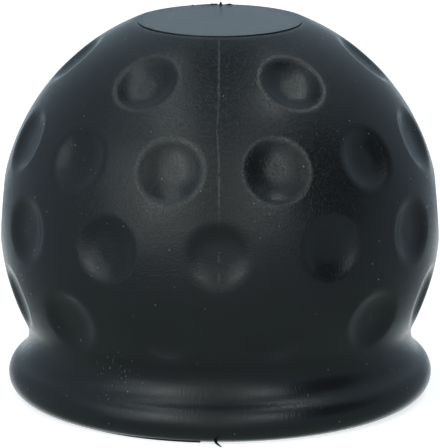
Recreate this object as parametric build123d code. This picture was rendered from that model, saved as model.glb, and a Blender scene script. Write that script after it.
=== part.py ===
from build123d import *
import os
from math import cos, radians, sin, sqrt, tan

# Tow ball cover: one soft moulded cap that snaps over a tow ball.
# A dimpled dome stands on a narrow waist and a rolled rim, and its crown is a raised flat.
# Millimetres, +Z up, origin at the middle of the rim's foot, mould parting line towards -Y.

# Ball that the cap covers, and the wall round it
BALL_DIAMETER = 50.0
BALL_CLEARANCE = 1.0
WALL = 4.0

# Raised flat on the crown, with a narrow ledge round it
FLAT_DIAMETER = 22.3
FLAT_STEP = 0.16
LEDGE_WIDTH = 0.6
CROWN_INNER_ROUND = 1.5

# Waist, which leaves the dome at this angle below its widest, and the rolled rim under it
WAIST_ANGLE = 27.2
WAIST_ROUND = 4.0
RIM_OVERHANG = 2.8
RIM_ROUND = 2.75
FOOT_CUT = 0.15

# Flared mouth inside the rim
LEAD_IN_ANGLE = 25.0
MOUTH_ROUND = 0.8

# Dimples: shallow bowls with a small flat floor and a wide soft edge
DIMPLE_DIAMETER = 8.6
DIMPLE_FLOOR_DIAMETER = 2.0
DIMPLE_DEPTH = 1.05
DIMPLE_EDGE_ROUND = 2.8
DIMPLE_EDGE_PROUD = 0.01

# Rows of dimples from the top down: latitudes, how many, and azimuths of the first from the parting line, in degrees
ROW_LATITUDES = (49.2, 25.5, 4.2, -17.5)
ROW_COUNTS = (6, 12, 12, 12)
ROW_AZIMUTHS = (29.6, 16.2, -0.4, 15.6)

# Radii and centres of the section that follow from those sizes, from the foot up
socket_radius = BALL_DIAMETER / 2 + BALL_CLEARANCE
dome_radius = socket_radius + WALL
flat_radius = FLAT_DIAMETER / 2
ledge_radius = flat_radius + LEDGE_WIDTH
waist_angle = radians(WAIST_ANGLE)
waist_to_dome = dome_radius + WAIST_ROUND
waist_to_rim = WAIST_ROUND + RIM_ROUND
waist_drop = waist_to_dome * sin(waist_angle)
rim_drop = sqrt(waist_to_rim**2 - (waist_to_rim - RIM_OVERHANG) ** 2)
rim_height = RIM_ROUND - FOOT_CUT
waist_height = rim_height + rim_drop
dome_height = waist_height + waist_drop
dome_center = Vector(0, 0, dome_height)
waist_center = Vector(waist_to_dome * cos(waist_angle), 0, waist_height)
rim_center = Vector(waist_center.X - waist_to_rim + RIM_OVERHANG, 0, rim_height)


def toward(center, target, distance):
    """Point at a distance from a centre, on the line to a target."""
    return center + (target - center).normalized() * distance


def arc(center, start, end):
    """Arc about a centre, shorter than half a turn."""
    middle = (start - center) + (end - center)
    return ThreePointArc(start, toward(center, center + middle, (start - center).length), end)


def cover_section():
    """Half section of the cap: crown, dome, waist and rim outside, mouth, throat and socket inside."""
    ledge_height = dome_height + sqrt(dome_radius**2 - ledge_radius**2)
    flat_height = ledge_height + FLAT_STEP
    ledge_outer = Vector(ledge_radius, 0, ledge_height)
    ledge_inner = Vector(flat_radius, 0, ledge_height)
    flat_edge = Vector(flat_radius, 0, flat_height)
    flat_middle = Vector(0, 0, flat_height)

    dome_end = toward(dome_center, waist_center, dome_radius)
    rim_start = toward(rim_center, waist_center, RIM_ROUND)
    foot_edge = Vector(rim_center.X + sqrt(RIM_ROUND**2 - rim_height**2), 0, 0)

    lean = radians(LEAD_IN_ANGLE)
    throat_round = WAIST_ROUND + WALL
    lead_in_top = waist_center - Vector(cos(lean), 0, sin(lean)) * throat_round
    mouth_edge = Vector(lead_in_top.X + lead_in_top.Z * tan(lean), 0, 0)
    throat_top = toward(waist_center, dome_center, throat_round)
    crown_inside = Vector(0, 0, flat_height - WALL)
    crown_inside_radius = sqrt(socket_radius**2 - (crown_inside.Z - dome_height) ** 2)
    crown_inside_edge = crown_inside + Vector(crown_inside_radius, 0, 0)

    outline = [
        Line(flat_middle, flat_edge),
        Line(flat_edge, ledge_inner),
        Line(ledge_inner, ledge_outer),
        arc(dome_center, ledge_outer, dome_end),
        arc(waist_center, dome_end, rim_start),
        arc(rim_center, rim_start, foot_edge),
        Line(foot_edge, mouth_edge),
        Line(mouth_edge, lead_in_top),
        arc(waist_center, lead_in_top, throat_top),
        arc(dome_center, throat_top, crown_inside_edge),
        Line(crown_inside_edge, crown_inside),
        Line(crown_inside, flat_middle),
    ]
    section = make_face(outline)
    for corner, size in ((mouth_edge, MOUTH_ROUND), (crown_inside_edge, CROWN_INNER_ROUND)):
        section = fillet(section.vertices().sort_by_distance(corner)[0], size)
    return section


def dimple_cutter():
    """Cutter for one dimple with its soft edge, with its axis on +Z and the dome's centre at the origin."""
    half = DIMPLE_DIAMETER / 2
    floor_half = DIMPLE_FLOOR_DIAMETER / 2
    dome_rise = dome_radius - sqrt(dome_radius**2 - half**2)
    side_rise = DIMPLE_DEPTH - dome_rise
    side_round = ((half - floor_half) ** 2 + side_rise**2) / (2 * side_rise)
    floor_middle = Vector(0, 0, dome_radius - DIMPLE_DEPTH)
    floor_edge = floor_middle + Vector(floor_half, 0, 0)
    side_center = floor_edge + Vector(0, 0, side_round)

    # The edge's round touches the side and stands just proud of the dome, so it leaves the dome in a clean line
    crest = dome_radius + DIMPLE_EDGE_PROUD
    from_dome = crest - DIMPLE_EDGE_ROUND
    from_side = side_round + DIMPLE_EDGE_ROUND
    along = (from_dome**2 - from_side**2 + side_center.length**2) / (2 * side_center.length)
    up = side_center.normalized()
    outward = Vector(up.Z, 0, -up.X)
    edge_center = up * along + outward * sqrt(from_dome**2 - along**2)
    side_end = toward(side_center, edge_center, side_round)
    edge_crest = toward(Vector(), edge_center, crest)
    lid_edge = edge_crest + Vector(0, 0, DIMPLE_DEPTH)
    lid_middle = Vector(0, 0, lid_edge.Z)
    outline = [
        Line(floor_middle, floor_edge),
        arc(side_center, floor_edge, side_end),
        arc(edge_center, side_end, edge_crest),
        Line(edge_crest, lid_edge),
        Line(lid_edge, lid_middle),
        Line(lid_middle, floor_middle),
    ]
    return revolve(make_face(outline), Axis.Z)


def dimple_places():
    """Places of the dimples, each with +Z straight out of the dome."""
    places = []
    for latitude, count, first in zip(ROW_LATITUDES, ROW_COUNTS, ROW_AZIMUTHS):
        for index in range(count):
            azimuth = first + index * 360 / count
            places.append(Pos(dome_center) * Rot(Z=azimuth) * Rot(X=90 - latitude))
    return places


cover = revolve(cover_section(), Axis.Z)
cutter = dimple_cutter()
cover = cover - [place * cutter for place in dimple_places()]

os.makedirs("parts", exist_ok=True)
export_step(cover, "parts/cover.step")
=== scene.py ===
from math import atan2, cos, hypot, pi, radians, sin, sqrt, tan

import bpy
from mathutils import Matrix, Vector


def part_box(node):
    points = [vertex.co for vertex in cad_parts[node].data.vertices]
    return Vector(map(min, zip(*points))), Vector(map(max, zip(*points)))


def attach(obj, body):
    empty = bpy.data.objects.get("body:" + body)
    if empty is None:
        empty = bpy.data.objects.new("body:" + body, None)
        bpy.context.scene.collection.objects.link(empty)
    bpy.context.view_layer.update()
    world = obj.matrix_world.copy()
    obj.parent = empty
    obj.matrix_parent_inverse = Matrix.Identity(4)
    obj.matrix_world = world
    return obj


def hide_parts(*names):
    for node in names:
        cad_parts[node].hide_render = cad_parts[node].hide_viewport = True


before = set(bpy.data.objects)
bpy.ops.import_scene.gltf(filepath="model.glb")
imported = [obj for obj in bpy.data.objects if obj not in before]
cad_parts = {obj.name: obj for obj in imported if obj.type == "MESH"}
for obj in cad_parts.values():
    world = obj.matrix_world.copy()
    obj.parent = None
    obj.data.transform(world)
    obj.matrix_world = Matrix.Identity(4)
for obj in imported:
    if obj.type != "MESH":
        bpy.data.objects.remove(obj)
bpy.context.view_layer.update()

# Tow ball cover: a dimpled cap of soft black plastic, with the marks that its mould left on it.
# Metres, +Z up, the foot on the floor, the parting line towards -Y.

MM = 0.001

# Section of the cap, with the sizes of the solid that it stands for
DOME_RADIUS = 30.0 * MM
WALL = 4.0 * MM
FLAT_RADIUS = 11.15 * MM
FLAT_STEP = 0.16 * MM
LEDGE_WIDTH = 0.6 * MM
CROWN_INNER_ROUND = 1.5 * MM
WAIST_ANGLE = radians(27.2)
WAIST_ROUND = 4.0 * MM
RIM_OVERHANG = 2.8 * MM
RIM_ROUND = 2.75 * MM
FOOT_CUT = 0.15 * MM
LEAD_IN_ANGLE = radians(25)
MOUTH_ROUND = 0.8 * MM

# Tiny round on the edge of the crown's flat, which the solid leaves sharp
FLAT_EDGE_ROUND = 0.02 * MM

# Dimples: shallow bowls with a small flat floor and a wide soft edge that stands just proud of the dome
DIMPLE_DIAMETER = 8.6 * MM
DIMPLE_FLOOR_DIAMETER = 2.0 * MM
DIMPLE_DEPTH = 1.05 * MM
DIMPLE_EDGE_ROUND = 2.8 * MM
DIMPLE_EDGE_PROUD = 0.006 * MM

# Rows of dimples from the top down: latitudes in degrees, how many there are, and the azimuth of the first
# one in degrees from the parting line
ROW_LATITUDES = (49.2, 25.5, 4.2, -17.5)
ROW_COUNTS = (6, 12, 12, 12)
ROW_AZIMUTHS = (29.6, 16.2, -0.4, 15.6)

# Gap under the foot, and as much under its lip of flash, so that no faces lie in one plane
FLOOR_GAP = 0.02 * MM

# Fineness of the meshes
TURN_STEPS = 288
DIMPLE_TURN_STEPS = 64
FEWEST_ARC_STEPS = 3
DOME_PITCH = 0.65 * MM
ROUND_PITCH = 0.35 * MM
BOWL_PITCH = 0.35 * MM
EDGE_PITCH = 0.17 * MM
INSIDE_PITCH = 1.6 * MM
FINE_PITCH = 0.01 * MM
THREAD_ROUNDNESS = 1
MERGE_DISTANCE = 0.0005 * MM
SMOOTH_ANGLE = radians(35)

# Parting line: where its plane stands, its ridge's half width on the side and high on the dome, and the
# heights between which the one turns into the other
PARTING_X = -0.15 * MM
PARTING_SIDE = 0.015 * MM
PARTING_HIGH = 0.06 * MM
PARTING_FADE = 31.0 * MM
PARTING_FULL = 42.0 * MM

# The line wanders to the left at one height, over this span above and below it
WANDER = 0.2 * MM
WANDER_HEIGHT = 41.5 * MM
WANDER_SPAN = 3.5 * MM

# Flash that squeezed out under the rim: a thin lip between two azimuths in degrees, whose round is off the
# axis so that it runs out to the left, and a thread with its half widths
LIP_FIRST = -42.0
LIP_LAST = -5.4
LIP_OFF_AXIS = 2.0 * MM
LIP_REACH = 0.42 * MM
LIP_THICKNESS = 0.08 * MM
LIP_STEPS = 40
TAIL_ROUTE = (
    Vector((-0.62, -26.9, 0.32)) * MM,
    Vector((-0.6, -27.7, 0.3)) * MM,
    Vector((-0.5, -28.4, 0.26)) * MM,
    Vector((-0.25, -29.0, 0.2)) * MM,
    Vector((0.15, -29.7, 0.12)) * MM,
)
TAIL_ROOT = 0.3 * MM
TAIL_TIP = 0.08 * MM

# Flash on the edge of the crown's flat: ridges along it, each as azimuths in degrees from the parting line
# with half widths in millimetres, and one upright nub at the back with its half widths
RIDGES = (
    ((-58.4, 0.02), (-57.5, 0.14), (-56.6, 0.02)),
    ((170.8, 0.02), (172.7, 0.14), (174.8, 0.1), (176.2, 0.02)),
    (
        (181.7, 0.02),
        (182.6, 0.15),
        (183.9, 0.09),
        (185.2, 0.15),
        (187.8, 0.06),
        (191.5, 0.05),
        (197.0, 0.02),
    ),
    ((198.6, 0.02), (199.8, 0.09), (201.0, 0.02)),
)
RIDGE_INSET = 0.05 * MM
NUB_ACROSS = 0.1 * MM
NUB_HEIGHT = 0.36 * MM
NUB_ROOT = 0.26 * MM
NUB_TIP = 0.1 * MM

# Centres of the section's rounds, which follow from those sizes and the height of the crown
crown_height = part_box("cover")[1].z
ledge_radius = FLAT_RADIUS + LEDGE_WIDTH
ledge_height = crown_height - FLAT_STEP
dome_height = ledge_height - sqrt(DOME_RADIUS**2 - ledge_radius**2)
waist_to_dome = DOME_RADIUS + WAIST_ROUND
waist_to_rim = WAIST_ROUND + RIM_ROUND
dome_center = Vector((0, 0, dome_height))
waist_center = dome_center + Vector((cos(WAIST_ANGLE), 0, -sin(WAIST_ANGLE))) * waist_to_dome
rim_center = Vector((waist_center.x - waist_to_rim + RIM_OVERHANG, 0, RIM_ROUND - FOOT_CUT))
foot_edge = Vector((rim_center.x + sqrt(RIM_ROUND**2 - rim_center.z**2), 0, 0))


# Drawing and joining pieces

def deselect_all():
    bpy.ops.object.select_all(action="DESELECT")


def pick(piece):
    """Makes one piece the only selected one."""
    deselect_all()
    piece.select_set(True)
    bpy.context.view_layer.objects.active = piece


def start_line(name, start):
    """New piece of one point, in edit mode, ready to be drawn on from there."""
    deselect_all()
    bpy.ops.mesh.primitive_plane_add(size=MM, location=start)
    piece = bpy.context.object
    piece.name = name
    bpy.ops.object.transform_apply(location=True, rotation=True, scale=True)
    bpy.ops.object.mode_set(mode="EDIT")
    bpy.ops.mesh.select_mode(type="VERT")
    bpy.ops.mesh.select_all(action="SELECT")
    bpy.ops.mesh.merge(type="CENTER")
    return piece


def line(start, end):
    """Straight stretch from the last point drawn."""
    bpy.ops.mesh.extrude_region_move(TRANSFORM_OT_translate={"value": end - start})
    return end


def arc(start, center, end, pitch):
    """Round stretch from the last point drawn, in the section's plane and under half a turn."""
    before = start - center
    after = end - center
    turn = atan2(before.z * after.x - before.x * after.z, before.x * after.x + before.z * after.z)
    steps = max(FEWEST_ARC_STEPS, round(abs(turn) * before.length / pitch))
    bpy.ops.mesh.spin(steps=steps, angle=turn, center=center, axis=(0, -1, 0))
    return end


def toward(center, target, distance):
    """Point at a distance from a centre, on the line to a target."""
    return center + (target - center).normalized() * distance


def soft_step(value, start, end):
    """Soft step from zero at one value to one at another."""
    share = min(1, max(0, (value - start) / (end - start)))
    return share * share * (3 - 2 * share)


def close_shell():
    """Merges the seams, turns the faces outwards and leaves edit mode."""
    bpy.ops.mesh.select_all(action="SELECT")
    bpy.ops.mesh.remove_doubles(threshold=MERGE_DISTANCE)
    bpy.ops.mesh.select_all(action="SELECT")
    bpy.ops.mesh.normals_make_consistent(inside=False)
    bpy.ops.object.mode_set(mode="OBJECT")


def turn_section(steps):
    """Spins the section that was drawn into a closed shell about the upright axis."""
    bpy.ops.mesh.select_all(action="SELECT")
    bpy.ops.mesh.spin(steps=steps, angle=2 * pi, center=(0, 0, 0), axis=(0, 0, 1))
    close_shell()


def round_out(piece, half_width_at):
    """Turns a drawn line into a round closed thread, whose half width follows from the place."""
    pick(piece)
    bpy.ops.object.convert(target="CURVE")
    route = piece.data
    route.dimensions = "3D"
    route.bevel_depth = MM
    route.bevel_resolution = THREAD_ROUNDNESS
    route.use_fill_caps = True
    for stretch in route.splines:
        for point in stretch.points:
            point.radius = half_width_at(point.co.xyz) / MM
    bpy.ops.object.convert(target="MESH")
    bpy.ops.object.mode_set(mode="EDIT")
    close_shell()


def draw_thread(name, route, half_width_at):
    """New piece: a round closed thread along straight stretches from point to point."""
    thread = start_line(name, route[0])
    for start, end in zip(route, route[1:]):
        line(start, end)
    bpy.ops.object.mode_set(mode="OBJECT")
    round_out(thread, half_width_at)
    return thread


def join(pieces):
    """Joins pieces where they stand into the first of them."""
    deselect_all()
    for piece in pieces:
        piece.select_set(True)
    bpy.context.view_layer.objects.active = pieces[0]
    bpy.ops.object.transform_apply(location=True, rotation=True, scale=True)
    bpy.ops.object.join()
    return bpy.context.object


def combine(piece, tool, operation):
    """Cuts a tool out of a piece, or adds it to the piece, and takes the tool away."""
    pick(piece)
    change = piece.modifiers.new(operation.lower(), "BOOLEAN")
    change.operation = operation
    change.solver = "EXACT"
    change.object = tool
    bpy.ops.object.modifier_apply(modifier=change.name)
    bpy.data.objects.remove(tool)


# Cover

def draw_cover():
    """The plain cap: half a section, drawn from the crown down the outside and back up inside, and spun."""
    flat_middle = Vector((0, 0, crown_height))
    flat_edge = Vector((FLAT_RADIUS - FLAT_EDGE_ROUND, 0, crown_height))
    edge_center = flat_edge - Vector((0, 0, FLAT_EDGE_ROUND))
    step_top = edge_center + Vector((FLAT_EDGE_ROUND, 0, 0))
    step_foot = Vector((FLAT_RADIUS, 0, ledge_height))
    ledge_edge = Vector((ledge_radius, 0, ledge_height))
    dome_end = toward(dome_center, waist_center, DOME_RADIUS)
    rim_start = toward(rim_center, waist_center, RIM_ROUND)

    # Mouth, throat and socket, one wall further in than the outside
    throat_round = WAIST_ROUND + WALL
    lead_in = Vector((cos(LEAD_IN_ANGLE), 0, sin(LEAD_IN_ANGLE)))
    lead_in_top = waist_center - lead_in * throat_round
    mouth_x = lead_in_top.x + lead_in_top.z * tan(LEAD_IN_ANGLE)
    mouth_inset = MOUTH_ROUND / tan((pi / 2 + LEAD_IN_ANGLE) / 2)
    mouth_center = Vector((mouth_x + mouth_inset, 0, MOUTH_ROUND))
    mouth_start = mouth_center - Vector((0, 0, MOUTH_ROUND))
    mouth_end = mouth_center - lead_in * MOUTH_ROUND
    throat_top = toward(waist_center, dome_center, throat_round)
    socket_radius = DOME_RADIUS - WALL
    crown_inside = Vector((0, 0, crown_height - WALL))
    inner_height = crown_inside.z - CROWN_INNER_ROUND
    inner_reach = socket_radius - CROWN_INNER_ROUND
    inner_center = Vector((sqrt(inner_reach**2 - (inner_height - dome_height) ** 2), 0, inner_height))
    inner_start = toward(dome_center, inner_center, socket_radius)
    inner_end = inner_center + Vector((0, 0, CROWN_INNER_ROUND))

    cover = start_line("moulded_cover", flat_middle)
    pen = line(flat_middle, flat_edge)
    pen = arc(pen, edge_center, step_top, FINE_PITCH)
    pen = line(pen, step_foot)
    pen = line(pen, ledge_edge)
    pen = arc(pen, dome_center, dome_end, DOME_PITCH)
    pen = arc(pen, waist_center, rim_start, ROUND_PITCH)
    pen = arc(pen, rim_center, foot_edge, ROUND_PITCH)
    pen = line(pen, mouth_start)
    pen = arc(pen, mouth_center, mouth_end, ROUND_PITCH)
    pen = line(pen, lead_in_top)
    pen = arc(pen, waist_center, throat_top, INSIDE_PITCH)
    pen = arc(pen, dome_center, inner_start, INSIDE_PITCH)
    pen = arc(pen, inner_center, inner_end, ROUND_PITCH)
    line(pen, crown_inside)
    turn_section(TURN_STEPS)
    return cover


def draw_dimple_cutter():
    """Cutter for one dimple with its soft edge, pointing up, with the dome's centre at the origin."""
    half = DIMPLE_DIAMETER / 2
    floor_half = DIMPLE_FLOOR_DIAMETER / 2
    dome_rise = DOME_RADIUS - sqrt(DOME_RADIUS**2 - half**2)
    side_rise = DIMPLE_DEPTH - dome_rise
    side_round = ((half - floor_half) ** 2 + side_rise**2) / (2 * side_rise)
    floor_middle = Vector((0, 0, DOME_RADIUS - DIMPLE_DEPTH))
    floor_edge = floor_middle + Vector((floor_half, 0, 0))
    side_center = floor_edge + Vector((0, 0, side_round))

    # The edge's round touches the side and stands just proud of the dome
    crest = DOME_RADIUS + DIMPLE_EDGE_PROUD
    from_dome = crest - DIMPLE_EDGE_ROUND
    from_side = side_round + DIMPLE_EDGE_ROUND
    along = (from_dome**2 - from_side**2 + side_center.length_squared) / (2 * side_center.length)
    up = side_center.normalized()
    edge_center = up * along + Vector((up.z, 0, -up.x)) * sqrt(from_dome**2 - along**2)
    side_end = toward(side_center, edge_center, side_round)
    edge_crest = toward(Vector((0, 0, 0)), edge_center, crest)
    lid_edge = edge_crest + Vector((0, 0, DIMPLE_DEPTH))
    lid_middle = Vector((0, 0, lid_edge.z))

    cutter = start_line("dimple_cutter", floor_middle)
    pen = line(floor_middle, floor_edge)
    pen = arc(pen, side_center, side_end, BOWL_PITCH)
    pen = arc(pen, edge_center, edge_crest, EDGE_PITCH)
    pen = line(pen, lid_edge)
    line(pen, lid_middle)
    turn_section(DIMPLE_TURN_STEPS)
    return cutter


def cut_dimples(cover):
    """Cuts every row of dimples with copies of the one cutter."""
    cutter = draw_dimple_cutter()
    copies = []
    for latitude, count, first in zip(ROW_LATITUDES, ROW_COUNTS, ROW_AZIMUTHS):
        for index in range(count):
            azimuth = first + index * 360 / count
            pick(cutter)
            bpy.ops.object.duplicate(linked=False)
            copy = bpy.context.object
            copy.location = dome_center
            copy.rotation_euler = (radians(90 - latitude), 0, radians(azimuth))
            copies.append(copy)
    bpy.data.objects.remove(cutter)
    combine(cover, join(copies), "DIFFERENCE")


def on_outside(point):
    """True on the dome, waist and rim, and not on the crown's flat, the foot or the inside."""
    if point.z > ledge_height - FLAT_STEP or point.z < FOOT_CUT:
        return False
    if point.z > waist_center.z:
        return (point - dome_center).length > DOME_RADIUS - WALL / 2
    return hypot(point.x, point.y) > waist_center.x - WAIST_ROUND - WALL / 4


def parting_half_width(place):
    """Half width of the parting ridge, which is finer down the dome."""
    share = soft_step(place.z, PARTING_FADE, PARTING_FULL)
    return PARTING_SIDE + (PARTING_HIGH - PARTING_SIDE) * share


def raise_parting_line(cover):
    """Ridge where the mould's halves met: a thin round bead along the section in the parting plane."""
    pick(cover)
    bpy.ops.object.duplicate(linked=False)
    bead = bpy.context.object
    bead.name = "parting_line"
    bpy.ops.object.mode_set(mode="EDIT")
    bpy.ops.mesh.select_all(action="SELECT")
    bpy.ops.mesh.bisect(
        plane_co=(PARTING_X, 0, 0),
        plane_no=(1, 0, 0),
        clear_inner=True,
        clear_outer=True,
        threshold=MERGE_DISTANCE,
    )
    bpy.ops.mesh.select_mode(type="VERT")
    bpy.ops.mesh.select_all(action="DESELECT")
    bpy.ops.object.mode_set(mode="OBJECT")
    for corner in bead.data.vertices:
        corner.select = not on_outside(corner.co)
    bpy.ops.object.mode_set(mode="EDIT")
    bpy.ops.mesh.delete(type="VERT")
    bpy.ops.object.mode_set(mode="OBJECT")
    for corner in bead.data.vertices:
        if corner.co.y < 0:
            corner.co.x -= WANDER * soft_step(abs(corner.co.z - WANDER_HEIGHT), WANDER_SPAN, 0)
    round_out(bead, parting_half_width)
    combine(cover, bead, "UNION")


def draw_tail():
    """Thread of flash that lies forward from the foot beside the parting line, thinner towards its end."""
    root = TAIL_ROUTE[0]
    length = (TAIL_ROUTE[-1] - root).length

    def half_width_at(place):
        return TAIL_ROOT + (TAIL_TIP - TAIL_ROOT) * (place - root).length / length

    return draw_thread("flash_tail", TAIL_ROUTE, half_width_at)


def draw_ridge(crests):
    """Low uneven ridge of flash along the edge of the crown's flat."""
    reach = FLAT_RADIUS - RIDGE_INSET
    route = []
    half_widths = []
    for azimuth, half_width in crests:
        turn = radians(azimuth)
        route.append(Vector((reach * sin(turn), -reach * cos(turn), crown_height)))
        half_widths.append(half_width * MM)

    def half_width_at(place):
        distances = [(point - place).length for point in route]
        return half_widths[distances.index(min(distances))]

    return draw_thread("flash_ridge", route, half_width_at)


def draw_nub():
    """Short upright nub of flash on the back edge of the crown's flat."""
    back = sqrt((FLAT_RADIUS - NUB_ROOT) ** 2 - NUB_ACROSS**2)
    root = Vector((NUB_ACROSS, back, crown_height - FLAT_STEP / 2))
    tip = Vector((NUB_ACROSS, back, crown_height + NUB_HEIGHT))

    def half_width_at(place):
        return NUB_TIP if place.z > crown_height else NUB_ROOT

    return draw_thread("flash_nub", (root, tip), half_width_at)


def draw_lip():
    """Thin lip of flash along a stretch of the foot's edge, twice as thick at its root."""
    inner_low = foot_edge + Vector((-LIP_REACH, 0, FLOOR_GAP))
    outer_low = foot_edge + Vector((LIP_REACH, 0, FLOOR_GAP))
    outer_high = outer_low + Vector((0, 0, LIP_THICKNESS))
    inner_high = inner_low + Vector((0, 0, 2 * LIP_THICKNESS))
    lip = start_line("flash_lip", inner_low)
    pen = line(inner_low, outer_low)
    pen = line(pen, outer_high)
    pen = line(pen, inner_high)
    line(pen, inner_low)
    bpy.ops.mesh.select_all(action="SELECT")
    bpy.ops.mesh.remove_doubles(threshold=MERGE_DISTANCE)

    # The section stands at the lip's last azimuth, and the spin takes it back from there to the first
    bpy.ops.mesh.select_all(action="SELECT")
    turn = radians(LIP_LAST - LIP_FIRST)
    bpy.ops.mesh.spin(steps=LIP_STEPS, angle=turn, center=(LIP_OFF_AXIS, 0, 0), axis=(0, 0, 1))
    bpy.ops.mesh.select_all(action="SELECT")
    bpy.ops.mesh.fill_holes(sides=4)
    close_shell()
    lip.rotation_euler = (0, 0, radians(LIP_LAST - 90))
    return lip


def add_flash(cover):
    """Marks that the mould's joints left at the foot and on the crown."""
    marks = [draw_tail(), draw_lip(), draw_nub()]
    for crests in RIDGES:
        marks.append(draw_ridge(crests))
    combine(cover, join(marks), "UNION")


def smooth(cover):
    """Smooth shading inside each surface, with the large faces leading beside the small ones."""
    pick(cover)
    bpy.ops.object.shade_smooth_by_angle(angle=SMOOTH_ANGLE)
    even = cover.modifiers.new("even_shading", "WEIGHTED_NORMAL")
    even.mode = "FACE_AREA"
    even.weight = 100
    even.keep_sharp = True
    bpy.ops.object.modifier_apply(modifier=even.name)


# Finishes, with lengths in millimetres; a pair of limits is where a soft step starts and where it is full

# Limits for places sunk under the dome's round, as in the dimples, by depth and by height above the waist,
# and for places low on the cover, on its waist and rim, by height
SUNK_DEPTHS = (0.1, 0.6)
SUNK_HEIGHTS = (10.0, 12.0)
LOW_HEIGHTS = (10.0, 8.0)

# Fine grain, weaker where the surface is sunk or low, long waves, and upright streaks on the waist and rim
GRAIN_SCALE = 4.8
GRAIN_LIMITS = (0.5, 0.75)
GRAIN_HEIGHT = 0.018
GRAIN_LOST_SUNK = 0.25
GRAIN_LOST_LOW = 0.6
WAVE_SCALE = 0.12
WAVE_HEIGHT = 0.02
STREAK_SCALE = 4.4
STREAK_SQUEEZE = (1.0, 0.16, 1.0)
STREAK_HEIGHT = 0.022

# Painted highlight along the parting line, a pale colour for the light its ridge catches: distances from
# its middle, the dots that make it uneven, shares that it gains between heights up the dome, and two faint
# bits with soft ends in the third row's dimple
SEAM_HIGHLIGHT_LIMITS = (0.2, 0.06)
SEAM_HIGHLIGHT_DOT_SCALE = 3.0
SEAM_HIGHLIGHT_DOT_LIMITS = (0.35, 0.6)
SEAM_HIGHLIGHT_FAINTEST = 0.15
SEAM_HIGHLIGHT_GAINS = ((0.65, 28.5, 34.5), (0.35, 43.0, 48.0))
SEAM_HIGHLIGHT_BITS = ((24.6, 26.4), (22.0, 23.8))
SEAM_HIGHLIGHT_BIT_END = 0.5
SEAM_HIGHLIGHT_BIT_SHARE = 0.35

# Dust: how many cells there are to a millimetre, and the draw with which a cell holds a speck
DUST_CELLS = 1.5
DUST_DRAW = (0.982, 0.986)

# Heap of dust on the rim: its azimuth and height, distances from there, and what the draw gains near it
HEAP_TURN = radians(-32)
HEAP_HEIGHT = 8.0
HEAP_LIMITS = (5.0, 1.5)
HEAP_GAIN = 0.56

# Speck of dust: its least radius and how much larger it may be, in cells, how much of it is full, and how
# strong the faintest is
SPECK_SMALLEST = 0.06
SPECK_SPREAD = 0.1
SPECK_CORE = 0.4
SPECK_FAINTEST = 0.35

# The painted highlight on the parting line, and the dust, show only below the ledge, by these depths under
# it
MARK_DEPTHS = (0.1, 0.3)

# Colours and roughness
PLASTIC_DARK = (0.0068, 0.0070, 0.0075, 1)
PLASTIC_PALE = (0.0084, 0.0086, 0.0093, 1)
# Pale colour painted along the parting line as a highlight
SEAM_HIGHLIGHT_COLOR = (0.075, 0.079, 0.081, 1)
DUST_COLOR = (0.3, 0.31, 0.31, 1)
CLOUD_SCALE = 0.18
ROUGHNESS = 0.22
ROUGHER_IN_CLOUDS = 0.06
SMOOTHER_SUNK = 0.03
ROUGHER_ON_SEAM_HIGHLIGHT = 0.3
ROUGHER_ON_DUST = 0.4


class Value:
    """A socket of a material's nodes; arithmetic on it adds Math nodes."""

    def __init__(self, finish, socket):
        self.finish = finish
        self.socket = socket

    def math(self, operation, first, second):
        return self.finish.add("ShaderNodeMath", {"operation": operation}, {0: first, 1: second})[0]

    def __add__(self, other):
        return self.math("ADD", self, other)

    def __sub__(self, other):
        return self.math("SUBTRACT", self, other)

    def __rsub__(self, other):
        return self.math("SUBTRACT", other, self)

    def __mul__(self, other):
        return self.math("MULTIPLY", self, other)

    def __abs__(self):
        return self.math("ABSOLUTE", self, 0.0)

    __radd__ = __add__
    __rmul__ = __mul__


class Finish:
    """A node tree that takes one node at a time."""

    def __init__(self, owner):
        owner.use_nodes = True
        self.tree = owner.node_tree
        self.tree.nodes.clear()

    def add(self, kind, settings, sockets):
        """Adds a node, sets it, gives its sockets their values or links, and returns its outputs."""
        node = self.tree.nodes.new(kind)
        for name, setting in settings.items():
            setattr(node, name, setting)
        for name, value in sockets.items():
            if isinstance(value, Value):
                self.tree.links.new(value.socket, node.inputs[name])
            else:
                node.inputs[name].default_value = value
        return [Value(self, socket) for socket in node.outputs]


def step(finish, value, start, end):
    """Soft step from zero at one value to one at another."""
    return finish.add(
        "ShaderNodeMapRange",
        {"clamp": True, "interpolation_type": "SMOOTHSTEP"},
        {"Value": value, "From Min": start, "From Max": end},
    )[0]


def noise(finish, place, scale, detail):
    """Cloudy pattern from zero to one."""
    return finish.add("ShaderNodeTexNoise", {}, {"Vector": place, "Scale": scale, "Detail": detail})[0]


def distance(finish, place, spot):
    """How far a place is from a spot."""
    return finish.add("ShaderNodeVectorMath", {"operation": "DISTANCE"}, {0: place, 1: spot})[1]


def mix(finish, share, first, second):
    """Colour between two colours."""
    return finish.add("ShaderNodeMix", {"data_type": "RGBA"}, {"Factor": share, "A": first, "B": second})[2]


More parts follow.
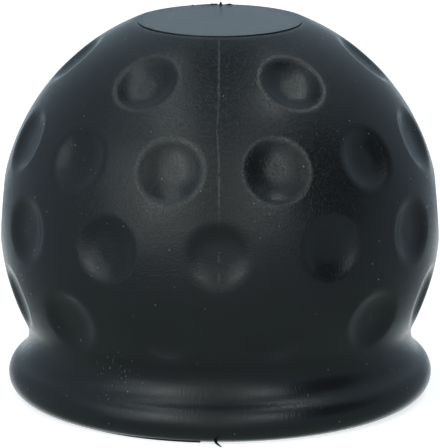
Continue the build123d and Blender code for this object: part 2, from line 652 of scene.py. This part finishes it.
def parting_highlight(finish, place, across, height):
    """Painted highlight along the parting line: pale and uneven, stronger up the dome, faint in the third
    row's dimple.
    """
    from_wander = abs(height - WANDER_HEIGHT / MM)
    wander = (WANDER / MM) * step(finish, from_wander, WANDER_SPAN / MM, 0.0)
    aside = abs(across - PARTING_X / MM + wander)
    dots = step(finish, noise(finish, place, SEAM_HIGHLIGHT_DOT_SCALE, detail=2.0), *SEAM_HIGHLIGHT_DOT_LIMITS)
    strength = 0.0
    for gain, start, full in SEAM_HIGHLIGHT_GAINS:
        strength = strength + gain * step(finish, height, start, full)
    for bottom, top in SEAM_HIGHLIGHT_BITS:
        over_bottom = step(finish, height, bottom, bottom + SEAM_HIGHLIGHT_BIT_END)
        under_top = step(finish, height, top, top - SEAM_HIGHLIGHT_BIT_END)
        strength = strength + SEAM_HIGHLIGHT_BIT_SHARE * over_bottom * under_top
    return step(finish, aside, *SEAM_HIGHLIGHT_LIMITS) * (SEAM_HIGHLIGHT_FAINTEST + (1 - SEAM_HIGHLIGHT_FAINTEST) * dots) * strength


def dust_specks(finish, unrolled):
    """Specks of dust: one in a few of the cells, and in most of them where it has gathered on the rim."""
    cells = finish.add(
        "ShaderNodeTexVoronoi",
        {"feature": "F1", "voronoi_dimensions": "2D"},
        {"Vector": unrolled, "Scale": DUST_CELLS, "Randomness": 1.0},
    )
    from_middle = cells[0]
    draw, paleness, size = finish.add("ShaderNodeSeparateColor", {}, {0: cells[1]})
    heap = Vector((HEAP_TURN * DOME_RADIUS / MM, HEAP_HEIGHT, 0))
    near_heap = step(finish, distance(finish, unrolled, heap), *HEAP_LIMITS)
    kept = step(finish, draw + HEAP_GAIN * near_heap, *DUST_DRAW)
    edge = SPECK_SMALLEST + SPECK_SPREAD * size
    strength = SPECK_FAINTEST + (1 - SPECK_FAINTEST) * paleness * paleness
    return step(finish, from_middle, edge, SPECK_CORE * edge) * kept * strength


def satin_plastic():
    """Black satin plastic: a fine grain, a little more gloss in the dimples, a painted highlight on the
    parting line, and dust.
    """
    material = bpy.data.materials.new("satin_black_plastic")
    finish = Finish(material)
    spot = finish.add("ShaderNodeTexCoord", {}, {})[3]
    place = finish.add("ShaderNodeVectorMath", {"operation": "SCALE"}, {0: spot, "Scale": 1 / MM})[0]
    across, along, height = finish.add("ShaderNodeSeparateXYZ", {}, {0: place})

    # Place on the surface as if unrolled: how far round from the parting line, and how high
    turn = across.math("ARCTAN2", across, 0 - along)
    unrolled = finish.add("ShaderNodeCombineXYZ", {}, {0: turn * (DOME_RADIUS / MM), 1: height, 2: 0.0})[0]

    depth = DOME_RADIUS / MM - distance(finish, place, dome_center / MM)
    sunk = step(finish, depth, *SUNK_DEPTHS) * step(finish, height, *SUNK_HEIGHTS)
    low = step(finish, height, *LOW_HEIGHTS)

    bumps = step(finish, noise(finish, place, GRAIN_SCALE, detail=0.0), *GRAIN_LIMITS)
    grain = GRAIN_HEIGHT * bumps * (1 - GRAIN_LOST_SUNK * sunk) * (1 - GRAIN_LOST_LOW * low)
    waves = WAVE_HEIGHT * noise(finish, place, WAVE_SCALE, detail=1.0)
    squeezed = finish.add(
        "ShaderNodeVectorMath", {"operation": "MULTIPLY"}, {0: unrolled, 1: STREAK_SQUEEZE}
    )[0]
    streaks = STREAK_HEIGHT * noise(finish, squeezed, STREAK_SCALE, detail=1.0) * low
    relief = finish.add(
        "ShaderNodeBump", {}, {"Strength": 1.0, "Distance": MM, "Height": grain + waves + streaks}
    )[0]

    marked = step(finish, ledge_height / MM - height, *MARK_DEPTHS)
    # Painted highlight: a pale colour along the parting ridge, for the light that it catches
    seam_highlight = parting_highlight(finish, place, across, height) * marked
    dust = dust_specks(finish, unrolled) * marked

    cloud = noise(finish, place, CLOUD_SCALE, detail=3.0)
    color = mix(finish, cloud, PLASTIC_DARK, PLASTIC_PALE)
    # Mixes the parting line's painted highlight into the colour
    color = mix(finish, seam_highlight, color, SEAM_HIGHLIGHT_COLOR)
    color = mix(finish, dust, color, DUST_COLOR)
    roughness = ROUGHNESS + ROUGHER_IN_CLOUDS * cloud - SMOOTHER_SUNK * sunk
    roughness = roughness + ROUGHER_ON_SEAM_HIGHLIGHT * seam_highlight + ROUGHER_ON_DUST * dust
    shader = finish.add(
        "ShaderNodeBsdfPrincipled",
        {},
        {"Base Color": color, "Roughness": roughness, "IOR": 1.5, "Normal": relief},
    )[0]
    finish.add("ShaderNodeOutputMaterial", {}, {"Surface": shader})
    return material


def pale_floor():
    """Even white table, which glows a little itself."""
    material = bpy.data.materials.new("pale_floor")
    finish = Finish(material)
    shader = finish.add(
        "ShaderNodeBsdfPrincipled",
        {},
        {
            "Base Color": (0.9, 0.9, 0.9, 1),
            "Roughness": 0.9,
            "Specular IOR Level": 0.1,
            "Emission Color": (1, 1, 1, 1),
            "Emission Strength": 0.72,
        },
    )[0]
    finish.add("ShaderNodeOutputMaterial", {}, {"Surface": shader})
    return material


# Stage, light and camera

FLOOR_RADIUS = 2.5
FLOOR_SIDES = 96
LIGHT_DISTANCE = 600.0 * MM
LIGHT_TINT = (0.95, 1.02, 1.0)

# Grey room: its even light, how much of that its dark corner takes, and tints of its parts
ROOM_LIGHT = 0.315
CORNER_SHADE = 0.95
ROOM_TINT = (0.79, 1.04, 1.21, 1)
BELOW_TINT = (0.79, 1.06, 1.04, 1)
FRONT_TINT = (0.91, 1.02, 1.05, 1)
LOW_BEHIND_TINT = (0.97, 1.0, 1.03, 1)

# Camera: its place as seen from the dome's middle, its own pitch, and a lens for a picture of this height
CAMERA_DISTANCE = 600.0 * MM
CAMERA_ELEVATION = radians(13.67)
CAMERA_PITCH = radians(13.73)
CAMERA_REACH = 10.0
SENSOR = 36.0
IMAGE_HEIGHT = 448
FOCAL_PIXELS = 4392


def lay_floor():
    """Round table under the foot; reflections show the room below instead of it."""
    deselect_all()
    bpy.ops.mesh.primitive_circle_add(
        vertices=FLOOR_SIDES, radius=FLOOR_RADIUS, fill_type="NGON", location=(0, 0, -FLOOR_GAP)
    )
    floor = bpy.context.object
    floor.name = "floor"
    floor.data.materials.append(pale_floor())
    floor.visible_glossy = False


def outward(side, tilt):
    """Direction off the parting plane by a side angle and up from the front by a tilt, in degrees."""
    level = cos(radians(side))
    return Vector((sin(radians(side)), -level * cos(radians(tilt)), level * sin(radians(tilt))))


def hang_light(name, side, tilt, width, height, radiance):
    """Soft box that faces the dome, with its width across and its height along the tilt in degrees."""
    lamp = bpy.data.lights.new(name, "AREA")
    lamp.shape = "RECTANGLE"
    lamp.size = 2 * LIGHT_DISTANCE * tan(radians(width / 2))
    lamp.size_y = 2 * LIGHT_DISTANCE * tan(radians(height / 2))
    lamp.energy = radiance * pi * lamp.size * lamp.size_y
    lamp.color = LIGHT_TINT
    light = bpy.data.objects.new(name, lamp)
    bpy.context.scene.collection.objects.link(light)
    out = outward(side, tilt)
    rise = outward(0, tilt + 90)
    facing = Matrix((rise.cross(out), rise, out)).transposed()
    light.location = dome_center + out * LIGHT_DISTANCE
    light.rotation_euler = facing.to_euler()
    light.visible_camera = False


def lobe(finish, direction, side, tilt, wide, narrow):
    """One towards a part of the room and zero away from it, with a soft edge between two angles off it."""
    facing = finish.add(
        "ShaderNodeVectorMath", {"operation": "DOT_PRODUCT"}, {0: direction, 1: outward(side, tilt)}
    )[1]
    return step(finish, facing, cos(radians(wide)), cos(radians(narrow)))


def surround():
    """Grey room, paler behind, in front and high on the left, darker overhead, below and on the right."""
    world = bpy.data.worlds.new("surround")
    bpy.context.scene.world = world
    finish = Finish(world)
    direction = finish.add("ShaderNodeTexCoord", {}, {})[0]
    high_behind = lobe(finish, direction, side=0, tilt=150, wide=45, narrow=8)
    low_behind = lobe(finish, direction, side=0, tilt=208, wide=40, narrow=5)
    front = lobe(finish, direction, side=-8, tilt=22, wide=52, narrow=10)
    overhead = lobe(finish, direction, side=0, tilt=104, wide=22, narrow=6)
    below = lobe(finish, direction, side=0, tilt=-90, wide=85, narrow=50)
    low_right = lobe(finish, direction, side=85, tilt=-25, wide=52, narrow=15)
    high_left = lobe(finish, direction, side=-42, tilt=68, wide=32, narrow=10)
    corner = lobe(finish, direction, side=57, tilt=45, wide=30, narrow=12)

    # Light that each part adds to the even room or takes from it
    paler = 0.13 * high_behind + 1.0 * low_behind + 0.25 * front + 0.16 * high_left
    darker = 0.15 * overhead + 0.08 * below + 0.07 * low_right
    level = (ROOM_LIGHT + paler - darker) * (1 - CORNER_SHADE * corner)

    tint = mix(finish, below, ROOM_TINT, BELOW_TINT)
    tint = mix(finish, front, tint, FRONT_TINT)
    tint = mix(finish, low_behind, tint, LOW_BEHIND_TINT)
    light = finish.add("ShaderNodeBackground", {}, {"Color": tint, "Strength": level})[0]
    finish.add("ShaderNodeOutputWorld", {}, {"Surface": light})


def place_camera():
    """Camera in front of the dome and a little above it; the sensor's size spans the picture's height."""
    lens = bpy.data.cameras.new("camera")
    lens.sensor_width = SENSOR
    lens.lens = FOCAL_PIXELS * SENSOR / IMAGE_HEIGHT
    lens.clip_end = CAMERA_REACH
    camera = bpy.data.objects.new("camera", lens)
    bpy.context.scene.collection.objects.link(camera)
    back = Vector((0, -cos(CAMERA_ELEVATION), sin(CAMERA_ELEVATION)))
    camera.location = dome_center + back * CAMERA_DISTANCE
    camera.rotation_euler = (pi / 2 - CAMERA_PITCH, 0, 0)
    bpy.context.scene.camera = camera


cover = draw_cover()
cut_dimples(cover)
raise_parting_line(cover)
add_flash(cover)
smooth(cover)
cover.data.materials.clear()
cover.data.materials.append(satin_plastic())
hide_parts("cover")
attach(cover, "root")

lay_floor()
surround()
hang_light("left_bank", side=-36, tilt=28, width=46, height=50, radiance=0.6)
hang_light("left_core", side=-31, tilt=31, width=13, height=26, radiance=1.5)
hang_light("left_overhead", side=-22, tilt=84, width=17, height=54, radiance=1.16)
hang_light("right_bank", side=21, tilt=27, width=27, height=43, radiance=0.45)
hang_light("right_core", side=25, tilt=32, width=11, height=22, radiance=1.35)
hang_light("right_middle", side=19, tilt=64, width=20, height=26, radiance=0.3)
hang_light("right_overhead", side=23, tilt=92, width=11, height=36, radiance=2.2)
place_camera()
bpy.context.scene.view_settings.view_transform = "Standard"
